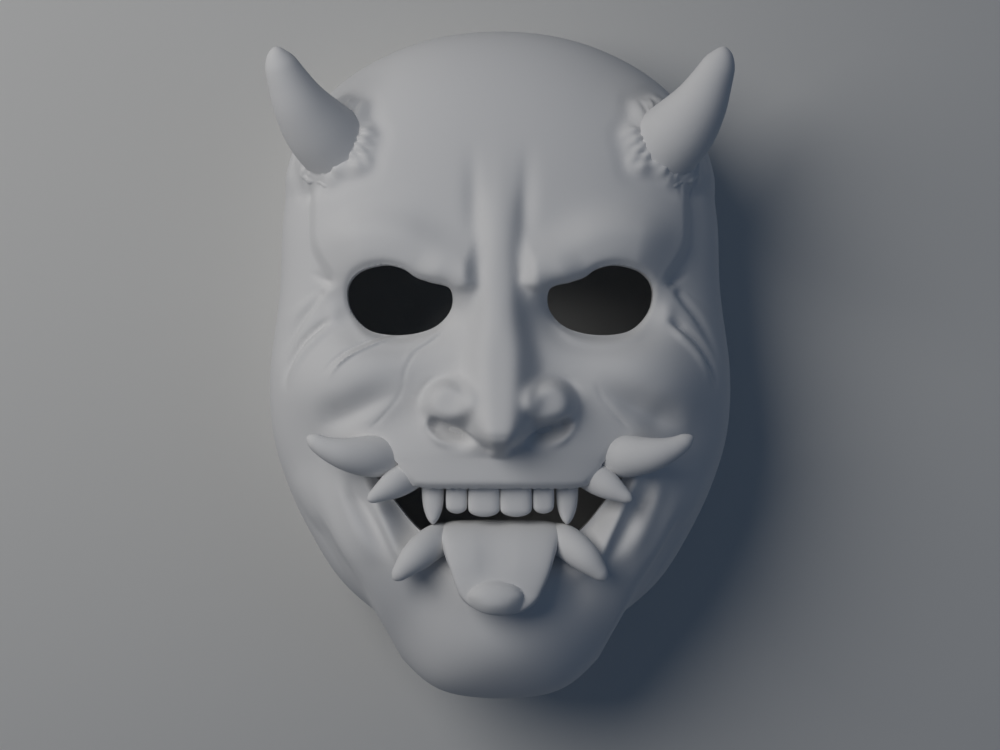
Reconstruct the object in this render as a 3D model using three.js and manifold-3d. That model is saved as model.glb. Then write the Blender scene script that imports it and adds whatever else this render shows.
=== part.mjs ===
// Oni mask: a hollow cast face with horns, tusks, teeth and a hanging tongue, lying on its back edge.
// Millimetres. X runs across the face, +Y towards the forehead, +Z out of the face; the rim lies on z = 0.
import * as THREE from 'three';
import { mergeVertices } from 'three/addons/utils/BufferGeometryUtils.js';
import Module from 'manifold-3d';

const wasm = await Module();
wasm.setup();

// Driving dimensions
const maskHeight = 238; // forehead edge to chin
const wall = 4; // thickness of the cast wall
const sideDepth = 32; // straight side wall, from the rim to where the face curves over
const domeHeight = 56; // rise of the plain face above the side wall
const rimInset = 3; // how far the side wall leans in at the rim
const chinDrop = 1.4; // how far the chin juts past the side wall
const chinPlace = -104; // middle of that jut, down from the middle of the face
const chinReach = [34, 15]; // its half width and half height
const jutStart = 12; // height above the rim at which the chin begins to jut
const jutRise = 40; // and the rise over which it comes out fully
const hornWidth = 26; // across the root of a horn
const collarRadius = 13.6; // ring of torn flesh round a horn, to the middle of the roll
const collarWidth = 9; // width of that roll
const collarHeight = 5.6; // height of that roll
const tuskWidth = 14; // big upper tusk
const fangWidth = 11.4; // short fang below the tusk
const lowerTuskWidth = 10.4;
const toothThickness = 6;
const toothRootLength = 4.5; // hidden behind the upper lip
const tongueWidth = 41;
const tongueThickness = 8;

// Fineness of the facets
const cellsAcross = 40;
const cellsAlong = 52;
const innerCoarseness = 2; // outer cells to one inner cell

// The carving's places are drawn on a face 238 mm tall and kept as shares of the mask's height
const drawnHeight = 238;
const share = maskHeight / drawnHeight;

// Outline of the side wall, seen from the front: angle from the middle in degrees, radius
const outline = [
  [90, 124], [73, 122.8], [58.6, 118.3], [48.3, 111], [36.2, 98], [22.9, 86.6], [0, 82.8],
  [-15.6, 84.8], [-27.7, 86.2], [-40, 89], [-52.7, 93.6], [-66.2, 97.9], [-78.9, 100.5], [-90, 101.4],
];
const domePower = 2.4; // 2 is an ellipse, more is flatter on top with fuller shoulders
const domeShare = 0.93; // share of the grid on the face, the rest is the side wall

// Openings, right half of the face
const eyeOutline = [
  [17, 29.3], [24, 31.6], [33, 35.2], [39.5, 37], [48, 35], [52.5, 29],
  [51, 21.5], [44.3, 15.1], [33, 13.6], [22.5, 16.2], [16.6, 22.5],
];
const mouthHalf = [
  [10.3, -38.2], [26.2, -38.2], [30.4, -36], [34.5, -30], [38.6, -24.3], [42, -21.9], [45, -26],
  [43.6, -32], [39.6, -38.4], [35.6, -43.5], [28.5, -51.9], [20.4, -57.3], [10.3, -60],
];
const mouthOutline = [
  [0, -38.2], ...mouthHalf, [0, -60.7], ...mouthHalf.map(([x, y]) => [-x, y]).reverse(),
];

// Rounded hills and hollows of the carving: place, half sizes, turn, flatness of the top, height
const hills = {
  forehead: { at: [0, 75], half: [60, 34], power: 3, height: 2 },
  browEnd: { at: [14.5, 34], half: [7.2, 6.6], turn: 20, power: 2.8, height: 3.6 },
  browSwell: { at: [42, 45], half: [18, 11], power: 2.5, height: 2.2 },
  glabella: { at: [0, 44], half: [5, 20], power: 2.4, height: 1.2 },
  eyeSocket: { at: [35, 22], half: [22.5, 12.5], turn: 4, power: 3.2, height: -9.5 },
  eyeCorner: { at: [19, 25], half: [7.5, 8], power: 2.4, height: -4.5 },
  noseWing: { at: [17, -9.8], half: [8.6, 9.8], turn: -14, power: 3.2, height: 13 },
  muzzle: { at: [0, -30], half: [43, 17], power: 3.6, height: 6.5 },
  cheek: { at: [50, -2.5], half: [19, 14], turn: -8, power: 2.8, height: 10.5 },
  dimple: { at: [26, -74], half: [7.5, 5], power: 2.4, height: -3.5 },
  underLip: { at: [0, -80], half: [32, 5], power: 2.2, height: -3 },
  chin: { at: [0, -98], half: [34, 17], power: 3.4, height: 8 },
};

// Rolls and folds of the carving: path, width on its left and right, share of its length that fades out
const folds = {
  brow: {
    path: [
      [62, 35], [56, 39.5], [49, 42], [41.5, 42.6], [34, 41],
      [27.5, 38.2], [21.5, 35.2], [16, 32.6], [11.5, 30],
    ],
    left: 4, right: 12, power: 2.4, fade: [0.3, 0.02], height: 6.4,
  },
  frown: {
    path: [[8.2, 74], [8, 58], [7.4, 43], [7.4, 30]],
    left: 2.6, right: 3.4, power: 2, fade: [0.7, 0.1], height: -4.2,
  },
  cheekFold: {
    path: [[26.5, -4.5], [32.5, -8.5], [39.3, -12.2], [47.8, -14.8], [56, -14.8], [63, -12]],
    left: 2.8, right: 3.4, power: 2, fade: [0.25, 0.3], height: -7,
  },
  smile: {
    path: [[27, -9.5], [34, -12.8], [39.3, -16], [46, -19.6], [53.6, -23]],
    left: 2.4, right: 3, power: 2, fade: [0.3, 0.3], height: 2.2,
  },
  lip: {
    path: [
      [47.6, -29], [45.8, -36], [42.2, -43.8], [38, -52], [33.5, -58.6],
      [27, -64.8], [18, -68], [0, -69.5], [-18, -68],
    ],
    left: 2.6, right: 2.6, power: 2, fade: [0.15, 0], height: 4,
  },
  lipFold: {
    path: [[53.5, -28], [50.6, -34], [44.6, -46], [39.8, -56], [36, -63], [32, -69]],
    left: 2, right: 2, power: 2, fade: [0.25, 0.25], height: 2.6,
  },
  nostril: {
    path: [[22.4, -13.6], [18.5, -16.6], [13.2, -19.4], [8.6, -20.6]],
    left: 2.4, right: 3.4, power: 2.6, fade: [0.25, 0.3], height: -9, outsideOnly: true,
  },
};

// Nose: height and half width of the ridge down the face
const noseCrest = [
  [50, 0], [36, 1.6], [24, 5], [10, 11], [-2, 16.5],
  [-10, 20.4], [-16, 21.4], [-21, 18], [-25.5, 8.5], [-30, 0],
];
const noseHalf = [[36, 5], [20, 7.2], [5, 9], [-10, 10.8], [-22, 10.8]];
const noseFlatShare = 0.7; // the rest of its height is a wide foot
const noseFoot = 9;

// Steps in the face: the jaw stands inside its fold, the temple sinks outside its crease
const jawPath = [
  [72, -33], [71, -39.2], [66, -47.3], [59.7, -55], [54.4, -63.4], [48.5, -73.5], [42.2, -82.3], [36, -93],
];
const jawStep = 7.5;
const templePath = [[65.6, 76], [65.6, 68.2], [65.6, 56], [65, 45.5], [62.1, 39.3], [58.5, 34.7], [55.5, 30]];
const templeStep = 3;
const templeReach = 14;

// The lips roll in towards the mouth: depth and reach of the roll on the upper and on the lower lip
const upperRoll = { depth: 3, reach: 1.4 };
const lowerRoll = { depth: 9, reach: 5.2 };

// Carved parts, right half: path as x, y and rise over the plain face at its seat, thickness along it
const hornSeat = [57.6, 80.8];
const hornAxis = { root: [55, 78.2, -6.1], way: [62.2, 86, 3.9] };
const horn = {
  path: [
    [45, 67, -22.6], [52.5, 75.5, -9.6], [57.6, 80.8, -2.6], [62.2, 86, 3.9],
    [67, 92.4, 10.4], [71.8, 99.8, 15.4], [74.9, 106, 18.4], [76, 110, 19.8],
  ],
  taper: [1.02, 1, 0.94, 0.83, 0.67, 0.51, 0.4, 0.31],
};
const mouthSeat = [0, -40];
const tusk = {
  path: [
    [27, -27, -21], [36, -27.4, -9.5], [43.5, -27.4, -1.5],
    [51, -26.6, 3], [58, -24.4, 4.5], [64.6, -20.6, 4],
  ],
  taper: [0.94, 0.98, 1, 0.8, 0.56, 0.3],
};
const fang = {
  path: [[25, -28, -15.5], [30.5, -33, -5], [36, -37, 2], [44.2, -42, 5.5]],
  taper: [0.97, 1, 0.8, 0.24],
};
const lowerTusk = {
  path: [[17.5, -49.5, -11.5], [23, -55, -2.5], [29.2, -61.4, 3], [35.6, -68.2, 5]],
  taper: [0.94, 1, 0.9, 0.35],
};
const tongue = {
  path: [
    [0, -50, -16], [0, -49.6, -9], [0, -51.5, -3], [0, -56.5, 3.3], [0, -63, 6.1],
    [0, -69, 7.9], [0, -72.8, 10.5], [0, -73.4, 13.9], [0, -71, 16.5], [0, -67.6, 17.1],
  ],
  taper: [0.98, 1, 1, 0.985, 0.93, 0.81, 0.66, 0.53, 0.47, 0.39],
};
const upperLipEdge = -38.2;
const teeth = [ // from the middle outwards: two incisors and a canine
  { from: 0.15, to: 10.85, tip: -47.8, taper: [0.94, 1, 0.93] },
  { from: 11.05, to: 18.45, tip: -46.6, taper: [0.94, 1, 0.9] },
  { from: 18.7, to: 26.5, tip: -50.2, taper: [0.95, 0.98, 0.3] },
];
const toothBow = 0.007; // the row of teeth curves back towards its ends

const smooth = (t) => {
  const c = Math.min(Math.max(t, 0), 1);
  return c * c * (3 - 2 * c);
};

// Height of a smooth line through [place, value] knots, constant past its ends
function through(knots, place) {
  const row = [...knots].sort((a, b) => a[0] - b[0]);
  const p = Math.min(Math.max(place, row[0][0]), row[row.length - 1][0]);
  let i = 0;
  while (i < row.length - 2 && p > row[i + 1][0]) i += 1;
  const slope = (k) => {
    if (k === 0 || k === row.length - 1) return 0;
    return (row[k + 1][1] - row[k - 1][1]) / (row[k + 1][0] - row[k - 1][0]);
  };
  const h = row[i + 1][0] - row[i][0];
  const t = (p - row[i][0]) / h;
  return (2 * t ** 3 - 3 * t ** 2 + 1) * row[i][1] + (t ** 3 - 2 * t ** 2 + t) * h * slope(i)
    + (3 * t ** 2 - 2 * t ** 3) * row[i + 1][1] + (t ** 3 - t ** 2) * h * slope(i + 1);
}

// Points of a smooth curve through drawn places
function smoothLine(places, steps, closed = false) {
  const curve = new THREE.CatmullRomCurve3(
    places.map(([x, y, z = 0]) => new THREE.Vector3(x, y, z)), closed, 'catmullrom');
  return curve.getPoints(steps * (closed ? places.length : places.length - 1));
}

// Distance from a place to a line, positive on its left, and the share of the line's length passed there
function beside(line, x, y) {
  let nearest = { distance: Infinity, side: 1, passed: 0 };
  let passed = 0;
  for (let i = 0; i + 1 < line.length; i += 1) {
    const dx = line[i + 1].x - line[i].x;
    const dy = line[i + 1].y - line[i].y;
    const length = Math.hypot(dx, dy);
    const px = x - line[i].x;
    const py = y - line[i].y;
    const t = Math.min(Math.max((px * dx + py * dy) / (length * length), 0), 1);
    const distance = Math.hypot(px - t * dx, py - t * dy);
    if (distance < nearest.distance) {
      nearest = { distance, side: Math.sign(dx * py - dy * px), passed: passed + t * length };
    }
    passed += length;
  }
  return { ...nearest, passed: nearest.passed / passed };
}

function isInside(line, x, y) {
  let inside = false;
  for (let i = 0; i + 1 < line.length; i += 1) {
    const [a, b] = [line[i], line[i + 1]];
    if ((a.y > y) !== (b.y > y) && x < ((b.x - a.x) * (y - a.y)) / (b.y - a.y) + a.x) inside = !inside;
  }
  return inside;
}

const hillHeight = ({ at, half, turn = 0, power, height }, x, y) => {
  const a = THREE.MathUtils.degToRad(turn);
  const u = ((x - at[0]) * Math.cos(a) + (y - at[1]) * Math.sin(a)) / half[0];
  const v = ((y - at[1]) * Math.cos(a) - (x - at[0]) * Math.sin(a)) / half[1];
  return height * Math.exp(-(Math.hypot(u, v) ** power));
};

const lineSteps = 5;
for (const fold of Object.values(folds)) fold.line = smoothLine(fold.path, lineSteps);
const jawLine = smoothLine(jawPath, lineSteps);
const templeLine = smoothLine(templePath, lineSteps);
const mouthLine = smoothLine(mouthOutline, lineSteps, true);

const foldHeight = ({ line, left, right, power, fade, height }, x, y) => {
  const { distance, side, passed } = beside(line, x, y);
  const ends = smooth(passed / (fade[0] + 1e-6)) * smooth((1 - passed) / (fade[1] + 1e-6));
  return height * Math.exp(-((distance / (side > 0 ? left : right)) ** power)) * ends;
};

function noseHeight(x, y) {
  const half = through(noseHalf, y);
  return through(noseCrest, y) * (noseFlatShare * Math.exp(-((x / half) ** 3))
    + (1 - noseFlatShare) * Math.exp(-((x / (half + noseFoot)) ** 2)));
}

function jawHeight(x, y) {
  const { distance, side } = beside(jawLine, x, y);
  return jawStep * smooth(0.5 - (side * distance) / 8) * smooth((-28 - y) / 34);
}

function templeHeight(x, y) {
  const { distance, side, passed } = beside(templeLine, x, y);
  return -templeStep * smooth(0.5 + (side * distance) / 5) * smooth(passed / 0.3)
    * smooth((1 - passed) / 0.12) * Math.exp(-((distance / templeReach) ** 2));
}

function lipRoll(x, y) {
  const away = isInside(mouthLine, x, y) ? 0 : beside(mouthLine, x, y).distance;
  const upper = smooth((y + 44) / 6) * smooth((40 - x) / 6);
  const depth = upperRoll.depth * upper + lowerRoll.depth * (1 - upper);
  const reach = upperRoll.reach * upper + lowerRoll.reach * (1 - upper);
  return -depth * Math.exp(-((away / reach) ** 1.8));
}

// Height of the carving over the plain face
function carving(x, y, inside) {
  const ax = Math.abs(x);
  let height = noseHeight(ax, y) + jawHeight(ax, y) + templeHeight(ax, y) + lipRoll(ax, y);
  for (const hill of Object.values(hills)) height += hillHeight(hill, ax, y);
  for (const fold of Object.values(folds)) {
    if (!(inside && fold.outsideOnly)) height += foldHeight(fold, ax, y);
  }
  return height;
}

// The inner wall follows the lowest carving near each place, so the wall is never thinner than its size
const wallDirections = 8;
function innerCarving(x, y) {
  const reach = (wall / share) * 1.2;
  let lowest = carving(x, y, true);
  for (let i = 0; i < wallDirections; i += 1) {
    const a = (i / wallDirections) * 2 * Math.PI;
    lowest = Math.min(lowest, carving(x + reach * Math.cos(a), y + reach * Math.sin(a), true));
  }
  return lowest;
}

function outlineRadius(x, y) {
  const angle = THREE.MathUtils.radToDeg(Math.atan2(y, Math.abs(x) + 1e-9));
  return share * through(outline, angle);
}
const domeProfile = (s) => Math.max(1 - s ** domePower, 0) ** (1 / domePower);

// Height of the plain face over a place inside the outline
function domeAt(x, y) {
  const s = Math.min(Math.hypot(x, y) / outlineRadius(x, y), 1);
  return sideDepth + domeHeight * domeProfile(s);
}

// A point of the wall for u and v from -1 to 1, which cover a disc: its middle is the face,
// its rim the side wall
function skin(u, v, inset, inside) {
  const discX = u * Math.sqrt(1 - (v * v) / 2);
  const discY = v * Math.sqrt(1 - (u * u) / 2);
  const out = Math.hypot(discX, discY) + 1e-9;
  const [cx, cy] = [discX / out, discY / out];
  const reach = outlineRadius(discX, discY) - inset;
  const s = Math.sin((Math.min(out / domeShare, 1) * Math.PI) / 2);
  const down = Math.min(Math.max((out - domeShare) / (1 - domeShare), 0), 1);
  const plan = reach * s - rimInset * down ** 2;
  const [x, y] = [plan * cx, plan * cy];
  const z = sideDepth * (1 - down) + (domeHeight - inset) * domeProfile(s);
  const carve = inside ? innerCarving : carving;
  const height = share * carve(x / share, y / share, inside) * (1 - down);
  const lean = 0.75 * s ** 4;
  const rise = height * Math.sqrt(1 - lean * lean);
  const forward = smooth((z + rise - jutStart) / jutRise);
  const chin = { at: [0, chinPlace], half: chinReach, power: 3.4, height: forward };
  const jut = hillHeight(chin, Math.abs(x) / share, y / share);
  return [x + height * lean * cx, y + height * lean * cy - chinDrop * jut, z + rise + 2 * chinDrop * jut];
}

const gridPlace = (i, cells) => {
  const t = (2 * i) / cells - 1;
  return t * (0.8 + 0.2 * t * t); // cells are smaller in the middle of the face
};

const mirrorX = ([x, y, z]) => [-x, y, z];

function solidOf(points, triangles) {
  return new wasm.Manifold(new wasm.Mesh({
    numProp: 3,
    vertProperties: new Float32Array(points.flat()),
    triVerts: new Uint32Array(triangles.flat()),
  }));
}

function mirrored({ points, triangles }) {
  return { points: points.map(mirrorX), triangles: triangles.map(([a, b, c]) => [a, c, b]) };
}

// One skin of the wall as a grid of triangles, and the loop of its edge
function skinGrid(across, along, inset, inside, first) {
  const points = [];
  for (let i = 0; i <= along; i += 1) {
    for (let j = 0; j <= across; j += 1) {
      points.push(skin(gridPlace(j, across), gridPlace(i, along), inset, inside));
    }
  }
  const at = (i, j) => first + i * (across + 1) + j;
  const triangles = [];
  for (let i = 0; i < along; i += 1) {
    for (let j = 0; j < across; j += 1) {
      const [a, b, c, d] = [at(i, j), at(i, j + 1), at(i + 1, j + 1), at(i + 1, j)];
      const rising = (i < along / 2) === (j < across / 2);
      const pair = rising ? [[a, b, c], [a, c, d]] : [[a, b, d], [b, c, d]];
      for (const [p, q, r] of pair) triangles.push(inside ? [p, r, q] : [p, q, r]);
    }
  }
  const edge = [];
  for (let j = 0; j < across; j += 1) edge.push(at(0, j));
  for (let i = 0; i < along; i += 1) edge.push(at(i, across));
  for (let j = across; j > 0; j -= 1) edge.push(at(along, j));
  for (let i = along; i > 0; i -= 1) edge.push(at(i, 0));
  return { points, triangles, edge };
}

// Hollow face: outer and inner skin, joined along the flat rim, and the hollow as a solid of its own
function hollowFace() {
  const n = innerCoarseness;
  const outer = skinGrid(cellsAcross, cellsAlong, 0, false, 0);
  const inner = skinGrid(cellsAcross / n, cellsAlong / n, wall, true, outer.points.length);
  const rim = [];
  inner.edge.forEach((a, k) => {
    const b = inner.edge[(k + 1) % inner.edge.length];
    const run = Array.from({ length: n + 1 }, (_, m) => outer.edge[(k * n + m) % outer.edge.length]);
    rim.push([a, b, run[n]]);
    for (let m = n; m > 0; m -= 1) rim.push([a, run[m], run[m - 1]]);
  });
  const face = solidOf([...outer.points, ...inner.points], [...outer.triangles, ...inner.triangles, ...rim]);
  const lid = inner.edge.map((a, k) => [inner.edge[(k + 1) % inner.edge.length], a, -1]);
  const offset = outer.points.length;
  const shift = (index) => (index < 0 ? inner.points.length : index - offset);
  const hollow = solidOf(
    [...inner.points, [0, 0, 0]],
    [...inner.triangles.map(([a, b, c]) => [a, c, b]), ...lid].map((triangle) => triangle.map(shift)),
  );
  return { face, hollow };
}

// Straight cutter through the face, from an outline seen from the front
function opening(places, steps) {
  const line = smoothLine(places, steps, true).slice(0, -1);
  const shape = new THREE.Shape(line.map((p) => new THREE.Vector2(p.x * share, p.y * share)));
  const cutterHeight = sideDepth + 2 * domeHeight;
  const geometry = new THREE.ExtrudeGeometry(shape, { depth: cutterHeight, bevelEnabled: false });
  geometry.translate(0, 0, sideDepth * 0.9);
  geometry.deleteAttribute('normal');
  geometry.deleteAttribute('uv');
  const merged = mergeVertices(geometry);
  return new wasm.Manifold(new wasm.Mesh({
    numProp: 3,
    vertProperties: new Float32Array(merged.attributes.position.array),
    triVerts: new Uint32Array(merged.index.array),
  }));
}

// Solid of oval sections along a smooth path, with rounded ends
function swept({ path, taper }, seat, width, thickness, look) {
  const { rings, around, power = 2, tip = 0.1, across = [0, 0, 1] } = look;
  const lift = domeAt(seat[0] * share, seat[1] * share);
  const curve = new THREE.CatmullRomCurve3(
    path.map(([x, y, rise]) => new THREE.Vector3(x * share, y * share, rise * share + lift)),
    false, 'catmullrom');
  const sideways = new THREE.Vector3(...across);
  const centres = [];
  const sections = [];
  for (let i = 0; i < rings; i += 1) {
    const s = 0.5 - 0.5 * Math.cos((Math.PI * i) / (rings - 1));
    const t = curve.getUtoTmapping(s);
    const centre = curve.getPoint(t);
    const forward = curve.getTangent(t);
    const a = sideways.clone().addScaledVector(forward, -forward.dot(sideways)).normalize();
    const b = forward.clone().cross(a);
    const size = through(taper.map((value, k) => [k / (taper.length - 1), value]), t);
    const tipEnd = Math.sqrt(Math.max(1 - Math.max((s - 1 + tip) / tip, 0) ** 2, 0));
    centres.push(centre.toArray());
    sections.push(Array.from({ length: around }, (_, k) => {
      const angle = (k / around) * 2 * Math.PI;
      const round = (value) => Math.sign(value) * Math.abs(value) ** (2 / power);
      return centre.clone()
        .addScaledVector(a, 0.5 * width * size * tipEnd * round(Math.cos(angle)))
        .addScaledVector(b, 0.5 * thickness * size * tipEnd * round(Math.sin(angle)))
        .toArray();
    }));
  }
  const points = [...sections.slice(0, -1).flat(), centres[0], centres[rings - 1]];
  const rows = rings - 1;
  const [root, end] = [rows * around, rows * around + 1];
  const triangles = [];
  for (let k = 0; k < around; k += 1) {
    const next = (k + 1) % around;
    for (let i = 0; i + 1 < rows; i += 1) {
      const [p, q] = [i * around + k, i * around + next];
      triangles.push([p, q, q + around], [p, q + around, p + around]);
    }
    triangles.push([root, next, k], [end, (rows - 1) * around + k, (rows - 1) * around + next]);
  }
  return { points, triangles };
}

// Roll of torn flesh round a horn: a lumpy ring laid on the face
function collar({ around = 20, section = 6 } = {}) {
  const lift = domeAt(hornSeat[0] * share, hornSeat[1] * share);
  const place = ([x, y, rise]) => new THREE.Vector3(x * share, y * share, rise * share + lift);
  const root = place(hornAxis.root);
  const axis = place(hornAxis.way).sub(root).normalize();
  const a = axis.clone().cross(new THREE.Vector3(0, 0, 1)).normalize();
  const b = axis.clone().cross(a);
  const ring = Array.from({ length: around }, (_, k) => {
    const angle = (k / around) * 2 * Math.PI;
    const spoke = a.clone().multiplyScalar(Math.cos(angle)).addScaledVector(b, Math.sin(angle));
    const start = root.clone().addScaledVector(spoke, collarRadius);
    let [low, high] = [-40, 30];
    for (let n = 0; n < 30; n += 1) {
      const middle = (low + high) / 2;
      const p = start.clone().addScaledVector(axis, middle);
      if (p.z > domeAt(p.x, p.y)) high = middle;
      else low = middle;
    }
    return { angle, spoke, centre: start.addScaledVector(axis, low) };
  });
  const points = [];
  ring.forEach(({ angle, spoke, centre }, k) => {
    const behind = ring[(k + around - 1) % around].centre;
    const forward = ring[(k + 1) % around].centre.clone().sub(behind).normalize();
    const out = spoke.clone().addScaledVector(forward, -spoke.dot(forward)).normalize();
    const up = forward.clone().cross(out);
    if (up.dot(axis) < 0) up.negate();
    const lump = 1 + 0.2 * Math.sin(5 * angle + 1.1) * Math.sin(2 * angle + 0.3);
    for (let m = 0; m < section; m += 1) {
      const turn = (m / section) * 2 * Math.PI;
      points.push(centre.clone()
        .addScaledVector(out, 0.5 * collarWidth * lump * Math.cos(turn))
        .addScaledVector(up, 0.5 * collarHeight * lump * Math.sin(turn))
        .toArray());
    }
  });
  const triangles = [];
  for (let k = 0; k < around; k += 1) {
    for (let m = 0; m < section; m += 1) {
      const [p, q] = [k * section + m, k * section + ((m + 1) % section)];
      const [r, s] = [((k + 1) % around) * section + m, ((k + 1) % around) * section + ((m + 1) % section)];
      triangles.push([p, r, s], [p, s, q]);
    }
  }
  return { points, triangles };
}

function tooth({ from, to, tip, taper }) {
  const middle = (from + to) / 2;
  const bow = -toothBow * middle * middle;
  const top = upperLipEdge + toothRootLength / share;
  const form = {
    path: [[middle, top, bow - 1.5], [middle, (top + tip) / 2, bow - 0.5], [middle, tip, bow - 0.2]],
    taper,
  };
  return swept(form, mouthSeat, (to - from) * share, toothThickness,
    { rings: 7, around: 8, power: 3, tip: 0.3, across: [1, 0, 0] });
}

function pairOf(form) {
  const left = mirrored(form);
  return [solidOf(form.points, form.triangles), solidOf(left.points, left.triangles)];
}

function oniMask() {
  const leftEye = eyeOutline.map(([x, y]) => [-x, y]);
  const { face, hollow } = hollowFace();
  let solid = face;
  for (const cutter of [opening(eyeOutline, 3), opening(leftEye, 3), opening(mouthOutline, 2)]) {
    solid = solid.subtract(cutter);
  }
  const tongueForm = swept(tongue, mouthSeat, tongueWidth, tongueThickness,
    { rings: 17, around: 12, power: 2.5, tip: 0.08, across: [1, 0, 0] });
  const rooted = [
    ...pairOf(swept(horn, hornSeat, hornWidth, hornWidth, { rings: 12, around: 14, tip: 0.13 })),
    ...pairOf(collar()),
    ...pairOf(swept(tusk, mouthSeat, tuskWidth, tuskWidth, { rings: 10, around: 10 })),
    ...pairOf(swept(fang, mouthSeat, fangWidth, fangWidth, { rings: 8, around: 9 })),
    ...pairOf(swept(lowerTusk, mouthSeat, lowerTuskWidth, lowerTuskWidth, { rings: 8, around: 9 })),
  ].map((form) => form.subtract(hollow)); // flush with the inside of the wall
  const inMouth = teeth.flatMap((one) => pairOf(tooth(one)));
  inMouth.push(solidOf(tongueForm.points, tongueForm.triangles));
  for (const form of [...rooted, ...inMouth]) solid = solid.add(form);
  return solid;
}

function meshOf(solid, name, material) {
  const { vertProperties, triVerts } = solid.getMesh();
  const geometry = new THREE.BufferGeometry();
  geometry.setAttribute('position', new THREE.BufferAttribute(new Float32Array(vertProperties), 3));
  geometry.setIndex(new THREE.BufferAttribute(new Uint32Array(triVerts), 1));
  const mesh = new THREE.Mesh(geometry, material);
  mesh.name = name;
  return mesh;
}

const resin = new THREE.MeshStandardMaterial({ color: 0x9fa3a8, roughness: 0.55, metalness: 0 });
const mask = meshOf(oniMask(), 'oni_mask', resin);

// The origin is on the floor, under the middle of the mask
mask.geometry.computeBoundingBox();
const { min, max } = mask.geometry.boundingBox;
mask.geometry.translate(-(min.x + max.x) / 2, -(min.y + max.y) / 2, -min.z);
mask.geometry.computeVertexNormals();

const part = new THREE.Group();
part.add(mask);
export default part;
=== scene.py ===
"""Oni mask in unpainted cast resin, lying on a pale floor and seen from straight above.

The wall of the mask is one surface of two parameters: a plain rounded face with its carving added as
hills, folds and steps. Horns, tusks, teeth and tongue are oval profiles carried along curved paths. The
pieces are joined into one closed mesh, as the real mask is one casting.
"""

import bmesh
import bpy
import numpy as np
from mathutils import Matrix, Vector


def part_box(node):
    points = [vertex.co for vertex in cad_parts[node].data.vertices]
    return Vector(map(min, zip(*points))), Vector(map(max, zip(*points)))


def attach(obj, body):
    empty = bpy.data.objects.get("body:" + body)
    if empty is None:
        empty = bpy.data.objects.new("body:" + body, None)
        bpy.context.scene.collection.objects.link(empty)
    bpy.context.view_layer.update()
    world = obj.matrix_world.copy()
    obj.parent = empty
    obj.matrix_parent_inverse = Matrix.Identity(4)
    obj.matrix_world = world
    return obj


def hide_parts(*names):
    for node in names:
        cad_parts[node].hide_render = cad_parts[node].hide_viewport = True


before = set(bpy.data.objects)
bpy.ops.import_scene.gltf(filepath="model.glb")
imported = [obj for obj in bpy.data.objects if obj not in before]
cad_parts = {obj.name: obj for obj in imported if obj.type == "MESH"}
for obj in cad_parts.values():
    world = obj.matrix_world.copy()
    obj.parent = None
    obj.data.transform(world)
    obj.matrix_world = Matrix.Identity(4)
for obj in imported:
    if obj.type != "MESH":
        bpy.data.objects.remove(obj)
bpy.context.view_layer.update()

# The carving is drawn in millimetres, +Y towards the forehead and +Z out of the face, as on the CAD solid
TINY = 1e-9
CURVE_STEPS = 6

# Wall
WALL = 4.0
SIDE_DEPTH = 32.0
DOME_HEIGHT = 56.0
DOME_POWER = 2.4
DOME_SHARE = 0.93
RIM_INSET = 3.0
LEAN = 0.75
CHIN_DROP = 1.4
CHIN_JUT = ((0, -104), (34, 15), 0, 3.4, 1.0)  # a row of HILLS, as a share of CHIN_DROP
JUT_FOOT, JUT_GROWTH = 12, 40
OUTLINE = [
    (90, 124), (73, 122.8), (58.6, 118.3), (48.3, 111), (36.2, 98), (22.9, 86.6), (0, 82.75),
    (-15.6, 84.7), (-27.7, 86.2), (-40, 89), (-52.7, 93.8), (-66.2, 97.4), (-78.9, 101.2), (-90, 101.8),
]  # angle from the middle in degrees, radius

# Mesh
WALL_TRIANGLES = 130_000  # before the openings are cut and the parts are joined on
SLIVER = 5e-6  # metres, under which two corners are one
SHARP_ANGLE = 48

# Camera
CAMERA_HEIGHT = 740  # drawn millimetres above the floor, where the photograph's perspective fits
LENS, SENSOR = 70, 36

# Openings, right half of the face
EYE = [
    (17, 29.3), (24, 31.6), (28.6, 33.2), (33, 36.0), (39.5, 37.2), (48, 35), (52.3, 29.5),
    (51, 21.5), (44.3, 15.1), (33, 13.6), (22.5, 16.2), (16.6, 22.5),
]
MOUTH_HALF = [
    (10.3, -38.2), (26.2, -38.2), (30.4, -36), (34.5, -30), (38.6, -24.3), (42, -21.9), (45, -26),
    (43.6, -32), (39.6, -38.4), (35.6, -43.5), (28.5, -51.9), (20.4, -57.3), (10.3, -60),
]
MOUTH = [(0, -38.2)] + MOUTH_HALF + [(0, -60.7)] + [(-x, y) for x, y in MOUTH_HALF[::-1]]
LOWER_LIP = slice(6, 14)  # from the corner of the mouth to the middle below it

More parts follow.
